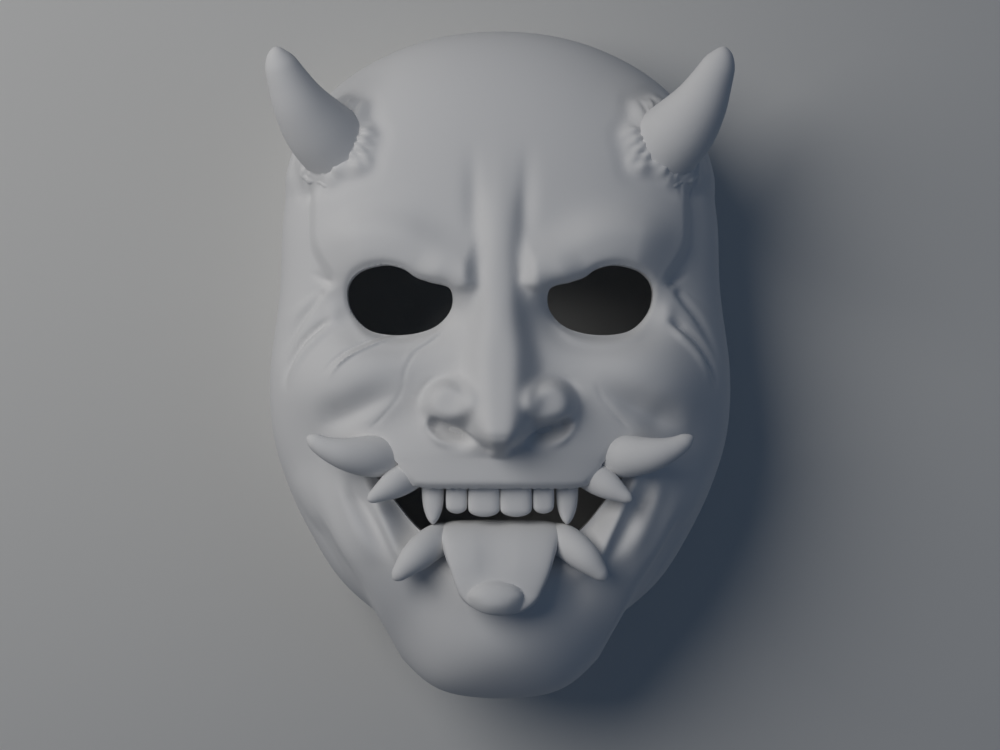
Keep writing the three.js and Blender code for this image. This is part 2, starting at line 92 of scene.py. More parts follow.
# Hills and hollows: middle, half sizes, turn in degrees, flatness of the top, height
HILLS = [
    ((0, 75), (60, 34), 0, 3.0, 2.0),  # forehead
    ((15.6, 33.6), (8.0, 6.4), 10, 2.6, 1.0),  # inner end of the brow
    ((42, 49), (18, 11), 0, 2.5, 1.4),  # swell over the brow
    ((0, 46), (4.6, 22), 0, 2.2, 1.2),  # between the frown lines
    ((35, 20.5), (22.5, 11.5), 4, 3.2, -9.0),  # eye socket
    ((19, 24), (7.5, 8), 0, 2.4, -4.5),  # inner corner of the eye
    ((16.8, -9.2), (8.4, 7.8), -20, 4.6, 11.0),  # nose wing
    ((16.8, -17.8), (6.4, 3.4), 24, 2.2, -2.6),  # nostril
    ((0, -30), (43, 17), 0, 3.6, 6.5),  # muzzle
    ((51.5, -2.4), (19.8, 13.8), -8, 2.3, 8.0),  # cheek
    ((24.5, -72), (5.5, 6.5), 0, 2.0, -1.6),  # dimple beside the tongue
    ((0, -80), (24, 12), 0, 2.6, 3.4),  # rise under the tongue
    ((0, -98), (34, 17), 0, 3.4, 8.0),  # chin
    ((24, -103), (11, 10), 0, 2.4, 1.0),  # corner of the chin
    ((57.6, 21.6), (3.0, 3.6), 0, 2.0, 1.3),  # knot at the outer corner of the eye
]

# Rolls and folds: path, width on its left and on its right, flatness, share that fades at each end, height
FOLDS = {
    "brow": (
        [(62, 36), (56, 40.4), (49, 43.4), (41.5, 44.4), (34, 43.2), (28, 40.4), (22, 37.6), (16, 35.6),
         (10.5, 34.4), (5, 33.8)],
        12.0, 10.0, 2.7, (0.3, 0.125), 5.2),
    "frown": ([(9.4, 82), (8.8, 66), (8.4, 56), (8.2, 47), (8.2, 38)], 3.4, 2.6, 2.0, (0.6, 0.5), -1.5),
    "cheek_fold": (
        [(30, -3), (37, -6), (44.6, -9.8), (51.6, -13.2), (58.6, -15.6), (65, -16.4)],
        6.0, 4.2, 2.0, (0.5, 0.35), -3.6),
    "smile": (
        [(31, -6.4), (37, -10), (42.4, -13.4), (49.5, -17.4), (54, -19)],
        2.6, 2.6, 2.0, (0.4, 0.4), 0.6),
    "muzzle_crease": (
        [(31.4, 0), (32.6, -4), (34.4, -8), (37.6, -12), (41.4, -16.1), (44.4, -18.6)],
        0.7, 0.8, 2.0, (0.4, 0.2), -0.35),
    "wing_crease": (
        [(26.4, -12), (26.0, -7), (23.0, -2.9), (18.4, -1.4), (14.2, -2.8), (11.6, -6.0), (10.4, -10),
         (9.6, -14)],
        1.8, 1.6, 2.0, (0.3, 0.5), -1.8),
    "nostril_rim": (
        [(25.6, -12.0), (24.6, -17.0), (21.4, -21.0), (17.4, -23.2), (13.6, -24.2)],
        1.5, 1.4, 2.0, (0.3, 0.5), 1.5),
    "lip": (
        [(48.4, -29), (45.6, -35.4), (40.8, -44), (36.6, -52.2), (33.2, -59), (28, -65), (20, -69)],
        2.2, 2.6, 2.0, (0.2, 0.6), 3.5),
    "lip_valley": (
        [(52.2, -33), (50, -39.6), (46.4, -45), (41.4, -52.4), (36.6, -60), (32.4, -67.4)],
        2.2, 2.2, 2.0, (0.3, 0.6), -2.7),
    "lip_fold": (
        [(56, -31), (53.6, -38), (49.6, -47.5), (44.4, -57), (40, -64.5)],
        3.2, 3.2, 2.0, (0.3, 0.4), 1.6),
    "jaw_valley": (
        [(70, -34), (66, -42), (60, -52), (54.6, -60.6), (49.6, -68), (45, -76), (40, -86)],
        3.2, 3.2, 2.0, (0.4, 0.3), -2.8),
    "eye_fold": (
        [(57.5, 20), (62.5, 16.2), (68, 11), (72, 4.4), (73.6, -1.4), (73.2, -6.6)],
        1.6, 1.2, 2.0, (0.2, 0.4), -2.6),
    "eye_fold_edge": (
        [(57.5, 17.2), (62, 13), (67, 7.4), (70.4, 1.2), (71.8, -5)],
        1.6, 1.6, 2.0, (0.25, 0.5), 1.3),
    "upper_fold": (
        [(60.4, 30.4), (64, 25.4), (69, 19), (74, 10), (77, 1)],
        1.8, 1.4, 2.0, (0.1, 0.6), -1.8),
    "collar_fold": ([(66.6, 70), (67.2, 65), (67.0, 59)], 1.1, 1.1, 2.0, (0.3, 0.6), -0.6),
    "collar_fold_short": ([(62.0, 68.0), (62.6, 63), (62.6, 59)], 1.0, 1.0, 2.0, (0.3, 0.6), -0.5),
    "temple_line": ([(57, 31), (62, 33.6), (67.5, 37)], 1.5, 1.5, 2.0, (0.2, 0.6), -1.2),
    "eyelid": (
        [(17.4, 20.6), (23, 13.4), (33, 10.6), (45, 12.4), (53.4, 20)],
        1.7, 1.7, 2.0, (0.3, 0.3), 0.9),
}
OUTSIDE_ONLY = {
    "collar_fold", "collar_fold_short", "nostril_rim", "muzzle_crease",
    "eye_fold", "eye_fold_edge", "upper_fold", "temple_line",
}

# Folds of one side alone, with real signs of x
LONE_FOLDS = [
    ([(-28, 13.8), (-36.4, 13.0), (-43.4, 10.2), (-50.4, 6.2), (-55, 1.6), (-57, -3)],
     0.65, 0.65, 2.0, (0.15, 0.3), 1.3),  # the cut under the left eye, its raised edge
    ([(-30, 14.6), (-37, 14.2), (-43.8, 11.8), (-51.2, 8), (-56.4, 3.4), (-59, -1)],
     0.65, 0.65, 2.0, (0.15, 0.3), -1.2),  # and its groove
    ([(-15.4, 18), (-22.6, 11.4), (-28.6, 7.2), (-31.6, 1.6), (-32.6, -4)],
     0.6, 0.6, 2.0, (0.3, 0.15), -0.4),  # the line beside the nose, its groove
    ([(-16.8, 18.6), (-24, 12.2), (-30.2, 7.8), (-33, 2)],
     0.8, 0.9, 2.0, (0.3, 0.3), 0.5),  # and its raised edge
]

# The nose, each a line through knots: place along the face, height of the ridge or its half width
NOSE_CREST = [
    (66, 0), (52, 2.2), (44, 3.8), (36, 5.0), (24, 7.4), (10, 11.6), (-2, 16.4), (-10, 19.9), (-15.4, 20.8),
    (-19.6, 19.8), (-22.6, 16.4), (-24.6, 10.6), (-26.2, 4.4), (-28, 0),
]
NOSE_HALF = [
    (46, 6.5), (34, 6.7), (26, 7.3), (16, 8.6), (7, 10.0), (-3, 10.5), (-12, 10.1), (-17, 9.0), (-20.5, 7.3),
    (-22.8, 5.1), (-25, 3.0),
]
NOSE_FLAT_SHARE = 0.8
NOSE_POWER = 3.9
NOSE_FOOT = 9.0

# The step from the jaw's fold up to the chin and lips, which grows downwards from its top
JAW = [
    (72, -33), (71, -39.2), (66, -47.3), (59.7, -55), (54.4, -63.4), (48.5, -73.5), (42.2, -82.3), (36, -93),
]
JAW_STEP = 7.5
JAW_STEP_WIDTH = 8
JAW_TOP = -28
JAW_GROWTH = 34

# Rounded edges: reach, power, depth
UPPER_LIP_ROLL = (1.4, 1.8, -3.0)
LOWER_LIP_ROLL = (5.2, 1.8, -9.0)
EYE_ROLL = (1.1, 2, -1.4)

# Steps in the skin: path, width of the step, reach, share that fades at each end, height on the path's left
STEPS = [
    ([(65.6, 72), (65.2, 64), (65.2, 54), (64.6, 45.5), (61.8, 39.3), (58.5, 34.7), (55.5, 30)],
     5.4, 14.0, (0.2, 0.12), -3.4),  # the temple sinks outside its crease
    ([(5, 31.4), (9, 29.6), (13, 28.6), (18, 29.0), (23, 30.9), (30, 34.2)],
     3.0, 8.0, (0.24, 0.35), 2.4),  # the brow stands over the inner corner of the eye
]

# The nostril's slit, a row like those of STEPS, for the outside of the wall alone
NOSTRIL = (
    [(23.4, -13.0), (21.4, -14.2), (17.6, -15.8), (13.2, -17.9), (9.4, -20.2), (6.4, -22.4)],
    1.2, 3.6, (0.2, 0.4), -6.4)

# Swept parts, right half: rows of x, y, z, half width, half thickness
HORN = [
    (51.2, 74.2, 58.0, 13.6, 13.6), (57.4, 79.9, 65.4, 13.0, 13.0), (63.1, 85.4, 72.5, 11.8, 11.8),
    (67.9, 92.0, 79.0, 9.5, 9.5), (71.7, 99.7, 84.0, 7.0, 7.0), (74.3, 106.0, 87.0, 5.2, 5.2),
    (75.4, 110.0, 88.4, 4.0, 4.0),
]
HORN_ROOT, HORN_WAY = (55.0, 78.2, 62.5), (62.2, 86.0, 72.5)
TUSK = [
    (27, -27.0, 64, 6.6, 6.6), (36, -27.4, 76, 6.9, 6.9), (43.5, -27.4, 84, 7.1, 7.1),
    (51, -26.6, 88.5, 5.7, 5.7), (58, -24.4, 90.0, 3.9, 3.9), (64.6, -20.6, 89.5, 2.1, 2.1),
]
FANG = [
    (25, -28.4, 66, 5.6, 5.6), (30.2, -33.0, 77.5, 5.8, 5.8), (36, -37.0, 85.5, 4.8, 4.8),
    (44.2, -42, 90, 1.4, 1.4),
]
LOWER_TUSK = [
    (18.2, -55.6, 72, 5.2, 5.2), (22.8, -56.8, 82, 5.7, 5.7), (28.8, -61.4, 88.5, 5.0, 5.0),
    (35.6, -68.4, 90.5, 1.8, 1.8),
]
TONGUE = [
    (0, -54.6, 69.5, 20.4, 4.0), (0, -53.6, 76, 20.8, 4.1), (0, -55.0, 82.4, 20.3, 4.1),
    (0, -58.6, 88.0, 18.9, 4.0), (0, -63.4, 91.3, 17.3, 3.8), (-0.2, -68.6, 92.8, 15.4, 3.6),
    (-0.4, -73.0, 93.6, 13.5, 3.5), (-0.6, -76.4, 94.6, 12.4, 3.4), (-0.8, -79.8, 95.2, 11.2, 3.2),
]

# The groove in the tongue and its curled tip
TONGUE_EDGE = 1.5
TONGUE_SHOWS_FROM = 80
GROOVE_AT, GROOVE_WIDTH, GROOVE_DEPTH, GROOVE_END, GROOVE_FADE = -2.2, 4.6, -1.3, -70, 8
CURL_X, CURL_Y, CURL_HEIGHT = -1.4, -73.8, 4.8
CURL_HALF_WIDTH, CURL_HALF_ABOVE, CURL_HALF_BELOW = 9.2, 5.6, 8.4
CURL_SOFT_FROM, CURL_SOFT_FADE = -72, 6

# Teeth, right half: left and right side, lower end, share of the half width that the lower end keeps
TEETH = [(0.0, 10.75, -47.8, 0.93), (10.95, 18.3, -46.8, 0.88), (18.9, 26.5, -50.6, 0.28)]
LIP_EDGE = -38.2
TOOTH_ROOT = 4.5
TOOTH_HALF_THICKNESS = 3.4
TOOTH_ROW_HEIGHT = 85.0
TOOTH_ROW_BEND = 0.007
TOOTH_STATIONS = [0, 0.35, 0.7, 1]

# Torn flesh round the horns
# Its waves: count round the horn, twist outwards, sway, the sway's count and start, share
TORN_WAVES = [(9, 0.6, 2.6, 2, 0.7, 0.42), (16, -0.5, 3.0, 3, 0.0, 0.36), (26, 0.9, 2.5, 4, 2.0, 0.22)]
TORN_EDGE = 18.6
TORN_HEIGHT = 2.4
TORN_SLOPE = 6.0
FURROW_DEPTH, FURROW_WIDTH, FURROW_OFFSET = -0.4, 2.4, 1.0
COLLAR_RADIUS = 14.2
COLLAR_HALF_WIDTH, COLLAR_HALF_HEIGHT = 2.2, 1.6
COLLAR_LUMPS = 0.22
COLLAR_SINK = 0.6
SEARCH_LOW, SEARCH_HIGH, SEARCH_HALVINGS = -40.0, 30.0, 40


def smooth(t):
    """Zero below 0, one above 1, with a soft start and end: 3 t squared minus 2 t cubed."""
    t = np.clip(t, 0, 1)
    return t * t * (3 - 2 * t)


def through(knots, places):
    """A smooth line through (place, value) knots: cubic pieces with matching slopes, level past its ends."""
    row = np.array(sorted(knots), float)
    at, value = row[:, 0], row[:, 1]
    slope = np.gradient(value, at)
    slope[[0, -1]] = 0
    p = np.clip(places, at[0], at[-1])
    i = np.clip(np.searchsorted(at, p, side="right") - 1, 0, len(at) - 2)
    h = at[i + 1] - at[i]
    t = (p - at[i]) / h
    return (
        (2 * t**3 - 3 * t**2 + 1) * value[i] + (t**3 - 2 * t**2 + t) * h * slope[i]
        + (3 * t**2 - 2 * t**3) * value[i + 1] + (t**3 - t**2) * h * slope[i + 1])


def curve_through(points, steps, closed=False):
    """Points on the cubic curve that passes each given point parallel to the line between its neighbours."""
    p = np.asarray(points, float)
    if closed:
        p = np.vstack([p[-1], p, p[:2]])
    else:
        p = np.vstack([2 * p[0] - p[1], p, 2 * p[-1] - p[-2]])
    t = np.linspace(0, 1, steps, endpoint=False)[None, :, None]
    a, b, c, d = p[:-3, None], p[1:-2, None], p[2:-1, None], p[3:, None]
    line = b + 0.5 * t * (c - a + t * (2 * a - 5 * b + 4 * c - d + t * (3 * (b - c) + d - a)))
    line = line.reshape(-1, p.shape[1])
    return line if closed else np.vstack([line, p[-2]])


def beside(line, x, y):
    """Distance from each place to a line, its side (1 on the left) and the share of the length passed."""
    length = np.linalg.norm(np.diff(line, axis=0), axis=1)
    start = np.concatenate([[0], np.cumsum(length)])
    best = np.full(x.shape, np.inf)
    side, passed = np.ones(x.shape), np.zeros(x.shape)
    for (ax, ay), (bx, by), size, before in zip(line[:-1], line[1:], length, start):
        dx, dy, px, py = bx - ax, by - ay, x - ax, y - ay
        t = np.clip((px * dx + py * dy) / (size * size + TINY), 0, 1)
        distance = np.hypot(px - t * dx, py - t * dy)
        near = distance < best
        best = np.where(near, distance, best)
        side = np.where(near, np.sign(dx * py - dy * px), side)
        passed = np.where(near, (before + t * size) / start[-1], passed)
    return best, side, passed


def is_inside(line, x, y):
    """True where a level line to the right of a place crosses the closed line an odd number of times."""
    inside = np.zeros(x.shape, bool)
    for (ax, ay), (bx, by) in zip(line, np.roll(line, -1, axis=0)):
        rise = by - ay if by != ay else TINY
        inside ^= ((ay > y) != (by > y)) & (x < (bx - ax) * (y - ay) / rise + ax)
    return inside


def hill(x, y, at, half, turn, power, height):
    """A bell over a turned ellipse: height times e to the minus (distance in half sizes) to the power."""
    a = np.radians(turn)
    u = ((x - at[0]) * np.cos(a) + (y - at[1]) * np.sin(a)) / half[0]
    v = ((y - at[1]) * np.cos(a) - (x - at[0]) * np.sin(a)) / half[1]
    return height * np.exp(-np.hypot(u, v) ** power)


def along(x, y, path, reach, fade):
    """Which places lie near a smooth path, their distance and side, and a share that fades at its ends."""
    line = curve_through(path, CURVE_STEPS)
    low, high = line.min(0) - reach, line.max(0) + reach
    near = (x > low[0]) & (x < high[0]) & (y > low[1]) & (y < high[1])
    distance, side, passed = beside(line, x[near], y[near])
    ends = smooth(passed / (fade[0] + TINY)) * smooth((1 - passed) / (fade[1] + TINY))
    return near, distance, side, ends


def fold(x, y, path, left, right, power, fade, height):
    """A bell across a path: e to the minus (distance in widths) to the power, times the height."""
    near, distance, side, ends = along(x, y, path, 3 * max(left, right), fade)
    result = np.zeros(x.shape)
    result[near] = height * np.exp(-(distance / np.where(side > 0, left, right)) ** power) * ends
    return result


def step(x, y, path, width, reach, fade, height):
    """A soft step up to the left of a path, times e to the minus (distance in reaches) squared."""
    near, distance, side, ends = along(x, y, path, 3 * reach, fade)
    result = np.zeros(x.shape)
    result[near] = height * smooth(0.5 + side * distance / width) * np.exp(-(distance / reach) ** 2) * ends
    return result


def roll(distance, reach, power, depth):
    """Skin rolled in at an edge: depth times e to the minus (distance in reaches) to the power."""
    return depth * np.exp(-(distance / reach) ** power)


def nose(x, y):
    """The nose's ridge: its height down the face times a flat-topped bell across it, on a wide foot."""
    half = through(NOSE_HALF, y)
    narrow = np.exp(-(x / half) ** NOSE_POWER)
    foot = np.exp(-(x / (half + NOSE_FOOT)) ** 2)
    return through(NOSE_CREST, y) * (NOSE_FLAT_SHARE * narrow + (1 - NOSE_FLAT_SHARE) * foot)


def jaw(x, y):
    """The chin and lips stand forward inside the jaw's fold, by a soft step that grows downwards."""
    distance, side, _ = beside(curve_through(JAW, steps=5), x, y)
    return JAW_STEP * smooth(0.5 - side * distance / JAW_STEP_WIDTH) * smooth((JAW_TOP - y) / JAW_GROWTH)


def lip_roll(x, y):
    """The skin rolls in towards the mouth, by the deeper of two rolls.

    The upper lip's roll is small and crisp, and weaker beside the tusks. The lower lip's is deep, and fades
    out at the corner of the mouth.
    """
    line = curve_through(MOUTH, CURVE_STEPS, closed=True)
    inside = is_inside(line, x, y)
    around, _, _ = beside(np.vstack([line, line[:1]]), x, y)
    below, _, passed = beside(curve_through(MOUTH[LOWER_LIP], CURVE_STEPS), x, y)
    upper = roll(np.where(inside, 0, around), *UPPER_LIP_ROLL) * (1 - 0.75 * smooth((x - 26) / 7))
    lower = roll(np.where(inside, 0, below), *LOWER_LIP_ROLL) * smooth((passed - 0.06) / 0.3)
    return np.minimum(upper, lower)


def eye_roll(x, y):
    """The wall's edge round the eye hole is softened."""
    line = curve_through(EYE, CURVE_STEPS, closed=True)
    away, _, _ = beside(np.vstack([line, line[:1]]), x, y)
    return roll(np.where(is_inside(line, x, y), 0, away), *EYE_ROLL)


def outline_radius(x, y):
    """The outline's radius in a place's direction from the middle."""
    return through(OUTLINE, np.degrees(np.arctan2(y, np.abs(x) + TINY)))


def dome_profile(s):
    """Height of a dome of one at a share s of its radius: (1 minus s to a power) to one over the power."""
    return np.clip(1 - s**DOME_POWER, 0, None) ** (1 / DOME_POWER)


def dome_at(x, y):
    """Height of the plain face over a place: the side wall's depth, and the dome above it."""
    return SIDE_DEPTH + DOME_HEIGHT * dome_profile(np.clip(np.hypot(x, y) / outline_radius(x, y), 0, 1))


def torn(angle, out):
    """Uneven lumps of torn flesh: a slow wave round the horn times a sum of quick, twisted, swayed ones."""
    sparse = 0.6 + 0.4 * np.sin(3 * angle + 2.2 * np.sin(2 * angle + 0.4))
    return sparse * sum(
        share * np.sin(count * angle + twist * out + sway * np.sin(sways * angle + start))
        for count, twist, sway, sways, start, share in TORN_WAVES)


def horn_frame():
    """The horn's root, its way out of the face and two directions across it."""
    root, way = np.array(HORN_ROOT), np.array(HORN_WAY) - HORN_ROOT
    way /= np.linalg.norm(way)
    across = np.cross(way, [0, 0, 1.0])
    across /= np.linalg.norm(across)
    return root, way, across, np.cross(way, across)


def torn_skin(x, y):
    """Skin drawn up round the horn, raised and lumpy out to an uneven edge with a shallow furrow."""
    root, way, across, upward = horn_frame()
    off = np.stack([x, y, dome_at(x, y)], -1) - root
    u, v = off @ across, off @ upward
    out = np.hypot(u, v)
    angle = np.arctan2(v, u)
    edge = TORN_EDGE + 1.6 * np.sin(3 * angle + 0.5) + 0.8 * np.sin(8 * angle + 2.0)
    raised = (TORN_HEIGHT + torn(angle, out)) * smooth((edge - out) / TORN_SLOPE)
    furrow = FURROW_DEPTH * np.exp(-((out - edge - FURROW_OFFSET) / FURROW_WIDTH) ** 2)
    return raised + furrow


def carving(x, y, inside):
    """Height of the carving over the plain face: the sum of its hills, folds and steps."""
    ax = np.abs(x)
    height = nose(ax, y) + jaw(ax, y) + lip_roll(ax, y)
    for row in STEPS:
        height += step(ax, y, *row)
    for row in HILLS:
        height += hill(ax, y, *row)
    for name, row in FOLDS.items():
        if not (inside and name in OUTSIDE_ONLY):
            height += fold(ax, y, *row)
    if not inside:
        height += torn_skin(ax, y) + eye_roll(ax, y) + step(ax, y, *NOSTRIL)
        for row in LONE_FOLDS:
            height += fold(x, y, *row)
    return height


def inner_carving(x, y):
    """The lowest carving near each place, so that the wall is nowhere thinner than its size."""
    lowest = carving(x, y, True)
    reach = 1.2 * WALL
    for angle in np.arange(8) * np.pi / 4:
        lowest = np.minimum(lowest, carving(x + reach * np.cos(angle), y + reach * np.sin(angle), True))
    return lowest


def skin(u, v, inset, inside):
    """The wall's surface for u and v from -1 to 1, laid over a disc whose edge is the rim.

    Out to DOME_SHARE of the disc the radius is the outline's times the sine of the way out, and the height
    is a rounded dome. From there to the edge the surface goes straight down, leaning in by RIM_INSET. The
    carving is added along a direction that leans outwards by LEAN towards the edge, and the chin juts.
    """
    disc_x, disc_y = u * np.sqrt(1 - v * v / 2), v * np.sqrt(1 - u * u / 2)
    out = np.hypot(disc_x, disc_y) + TINY
    cx, cy = disc_x / out, disc_y / out
    s = np.sin(np.clip(out / DOME_SHARE, 0, 1) * np.pi / 2)
    down = np.clip((out - DOME_SHARE) / (1 - DOME_SHARE), 0, 1)
    plan = (outline_radius(disc_x, disc_y) - inset) * s - RIM_INSET * down**2
    x, y = plan * cx, plan * cy
    z = SIDE_DEPTH * (1 - down) + (DOME_HEIGHT - inset) * dome_profile(s)
    height = (inner_carving(x, y) if inside else carving(x, y, False)) * (1 - down)
    lean = LEAN * s**4
    rise = height * np.sqrt(1 - lean**2)
    jut = CHIN_DROP * hill(np.abs(x), y, *CHIN_JUT) * smooth((z + rise - JUT_FOOT) / JUT_GROWTH)
    return np.stack([x + height * lean * cx, y + height * lean * cy - jut, z + rise + 2 * jut], -1)


def grid_places(cells, pull):
    """Places from -1 to 1, closer together in the middle: t (1 - pull + pull t squared)."""
    t = np.linspace(-1, 1, cells + 1)
    return t * (1 - pull + pull * t * t)


def grid_quads(rows, columns, first=0):
    """Corner numbers of the cells of a grid stored row by row, counted anticlockwise."""
    i, j = np.meshgrid(np.arange(rows), np.arange(columns), indexing="ij")
    a = (i * (columns + 1) + j).ravel() + first
    return np.stack([a, a + 1, a + columns + 2, a + columns + 1], -1)


def grid_edge(rows, columns, first=0):
    """Corner numbers round a grid's edge, anticlockwise from its first corner."""
    width = columns + 1
    bottom, right = np.arange(columns), columns + np.arange(rows) * width
    top, left = rows * width + columns - np.arange(columns), (rows - np.arange(rows)) * width
    return np.concatenate([bottom, right, top, left]) + first


def skin_grid(rows, columns, pull, inset, inside):
    """The skin's points on a grid, row by row."""
    u, v = np.meshgrid(grid_places(columns, pull), grid_places(rows, pull))
    return skin(u.ravel(), v.ravel(), inset, inside)


def hollow_face(rows, columns, coarseness, pull):
    """The closed wall, a fine outer grid and a coarser inner one, and the hollow behind it as a solid."""
    outer = skin_grid(rows, columns, pull, 0.0, False)
    n_rows, n_columns = rows // coarseness, columns // coarseness
    inner = skin_grid(n_rows, n_columns, pull, WALL, True)
    outer_edge = grid_edge(rows, columns)
    inner_edge = grid_edge(n_rows, n_columns)
    loop = np.append(outer_edge, outer_edge[0])
    runs = loop[np.arange(len(inner_edge))[:, None] * coarseness + np.arange(coarseness, -1, -1)]
    rim = np.column_stack([inner_edge + len(outer), np.roll(inner_edge, -1) + len(outer), runs])
    inner_quads = grid_quads(n_rows, n_columns)
    inner_faces = inner_quads[:, ::-1] + len(outer)
    faces = [*grid_quads(rows, columns).tolist(), *inner_faces.tolist(), *rim.tolist()]
    lid = np.column_stack([np.roll(inner_edge, -1), inner_edge, np.full(len(inner_edge), len(inner))])
    hollow = (np.vstack([inner, [0, 0, 0]]), [*inner_quads.tolist(), *lid.tolist()])
    return (np.vstack([outer, inner]), faces), hollow


def tube_faces(rings, around):
    """Quads between rings of points, and fans to the two end points stored after them."""
    i, k = np.meshgrid(np.arange(rings - 1), np.arange(around), indexing="ij")
    a, b = (i * around + k).ravel(), (i * around + (k + 1) % around).ravel()
    sides = np.column_stack([a, b, b + around, a + around])
    k = np.arange(around)
    following = (k + 1) % around
    last = (rings - 1) * around
    root = np.column_stack([np.full(around, rings * around), following, k])
    tip = np.column_stack([np.full(around, rings * around + 1), last + k, last + following])
    return [*sides.tolist(), *root.tolist(), *tip.tolist()]


def swept(rows, across, rings, around, power=2.0, tip=0.1, tail=0.05, shape=None):
    """An oval profile carried along a smooth path through rows of x, y, z, half width and half thickness.

    A point is the path's plus half width times the cosine across it and half thickness times the sine
    over it, both to the power 2 / power, so a power above 2 squares the oval. Both ends are rounded.
    """
    s = 0.5 - 0.5 * np.cos(np.linspace(0, np.pi, rings))
    fine = curve_through(rows, 24)
    walked = np.concatenate([[0], np.cumsum(np.linalg.norm(np.diff(fine[:, :3], axis=0), axis=1))])
    path = np.stack([np.interp(s, walked / walked[-1], column) for column in fine.T], -1)
    centre, half_width, half_thick = path[:, :3], path[:, 3], path[:, 4]
    forward = np.gradient(centre, axis=0)
    forward /= np.linalg.norm(forward, axis=1, keepdims=True)
    sideways = np.asarray(across, float) - (forward @ np.asarray(across, float))[:, None] * forward
    sideways /= np.linalg.norm(sideways, axis=1, keepdims=True)
    over = np.cross(forward, sideways)
    ends = np.sqrt(1 - np.clip((s - 1 + tip) / tip, 0, 1) ** 2)
    ends *= np.sqrt(1 - np.clip(1 - s / tail, 0, 1) ** 2)
    angle = np.linspace(0, 2 * np.pi, around, endpoint=False)
    cosine, sine = (np.sign(f) * np.abs(f) ** (2 / power) for f in (np.cos(angle), np.sin(angle)))
    w, h = (half_width * ends)[:, None] * cosine, (half_thick * ends)[:, None] * sine
    points = centre[:, None] + w[..., None] * sideways[:, None] + h[..., None] * over[:, None]
    if shape is not None:
        points = shape(points, h)
    points = np.vstack([points[1:-1].reshape(-1, 3), centre[:1], centre[-1:]])
    return points, tube_faces(rings - 2, around)


def mirrored(form):
    """The form on the other side of the face, its faces turned so that they still look outwards."""
    points, faces = form
    return points * (-1, 1, 1), [face[::-1] for face in faces]


def tongue_shape(points, h):
    """The tongue's groove, a bell across its top, and its curled tip, a dome over an oval.

    The dome is its height times (1 minus the distance in half sizes squared) to a power: 0.5, a full round,
    above, and up to 1.2, which runs out softly, at its lower end.
    """
    x, y = points[..., 0], points[..., 1]
    top = smooth(h / TONGUE_EDGE) * (points[..., 2] > TONGUE_SHOWS_FROM)
    groove = GROOVE_DEPTH * np.exp(-((x - GROOVE_AT) / GROOVE_WIDTH) ** 2)
    groove *= smooth((y - GROOVE_END) / GROOVE_FADE)
    half_long = np.where(y > CURL_Y, CURL_HALF_ABOVE, CURL_HALF_BELOW)
    away = np.hypot((x - CURL_X) / CURL_HALF_WIDTH, (y - CURL_Y) / half_long)
    power = 0.5 + 0.7 * smooth((CURL_SOFT_FROM - y) / CURL_SOFT_FADE)
    curl = CURL_HEIGHT * np.clip(1 - away * away, 0, 1) ** power
    raised = points.copy()
    raised[..., 2] += top * (groove + curl)
    return raised


def tooth(start, end, tip, end_share):
    """A tooth: a squarish oval carried down from behind the lip's edge. The corner one is pointed."""
    middle, half = (start + end) / 2, (end - start) / 2
    pointed = end_share < 0.5
    shares = [0.94, 1.0, 0.82, end_share] if pointed else [0.94, 0.98, 1.0, end_share]
    z = TOOTH_ROW_HEIGHT - TOOTH_ROW_BEND * middle**2
    top = LIP_EDGE + TOOTH_ROOT
    rows = [
        (middle, top + (tip - top) * t, z - 1 + t, half * share, TOOTH_HALF_THICKNESS * (1 - 0.25 * t))
        for t, share in zip(TOOTH_STATIONS, shares)]
    power, rounding = (2.2, 0.12) if pointed else (3.0, 0.17)
    return swept(rows, (1, 0, 0), rings=28, around=36, power=power, tip=rounding)


def collar(around=420, section=28):
    """Torn flesh round a horn: a lumpy oval profile carried round the horn where it leaves the face."""
    root, way, across, upward = horn_frame()
    angle = np.linspace(0, 2 * np.pi, around, endpoint=False)
    spoke = np.cos(angle)[:, None] * across + np.sin(angle)[:, None] * upward
    uneven = COLLAR_RADIUS + 0.5 * np.sin(5 * angle + 0.4) + 0.4 * np.sin(9 * angle + 1.9)
    start = root + uneven[:, None] * spoke
    low, high = np.full(around, SEARCH_LOW), np.full(around, SEARCH_HIGH)
    for _ in range(SEARCH_HALVINGS):
        middle = (low + high) / 2
        place = start + middle[:, None] * way
        above = place[:, 2] > dome_at(place[:, 0], place[:, 1])
        low, high = np.where(above, low, middle), np.where(above, middle, high)
    centre = start + (low - COLLAR_SINK)[:, None] * way
    forward = np.roll(centre, -1, 0) - np.roll(centre, 1, 0)
    forward /= np.linalg.norm(forward, axis=1, keepdims=True)
    out = spoke - (spoke * forward).sum(1, keepdims=True) * forward
    out /= np.linalg.norm(out, axis=1, keepdims=True)
    up = np.cross(forward, out)
    up *= np.sign(up @ way)[:, None]
    turn = np.linspace(0, 2 * np.pi, section, endpoint=False)
    lumps = 1 + COLLAR_LUMPS * torn(angle[:, None], COLLAR_RADIUS + 2.0 * np.cos(turn)[None, :])
    w = COLLAR_HALF_WIDTH * lumps * np.cos(turn)
    h = COLLAR_HALF_HEIGHT * lumps * np.sin(turn) * (1 + 0.25 * np.sin(4 * angle + 0.8))[:, None]
    points = centre[:, None] + w[..., None] * out[:, None] + h[..., None] * up[:, None]
    i, k = np.meshgrid(np.arange(around), np.arange(section), indexing="ij")
    here, following = i * section, (i + 1) % around * section
    beside_k = (k + 1) % section
    corners = [here + k, following + k, following + beside_k, here + beside_k]
    return points.reshape(-1, 3), np.column_stack([corner.ravel() for corner in corners]).tolist()


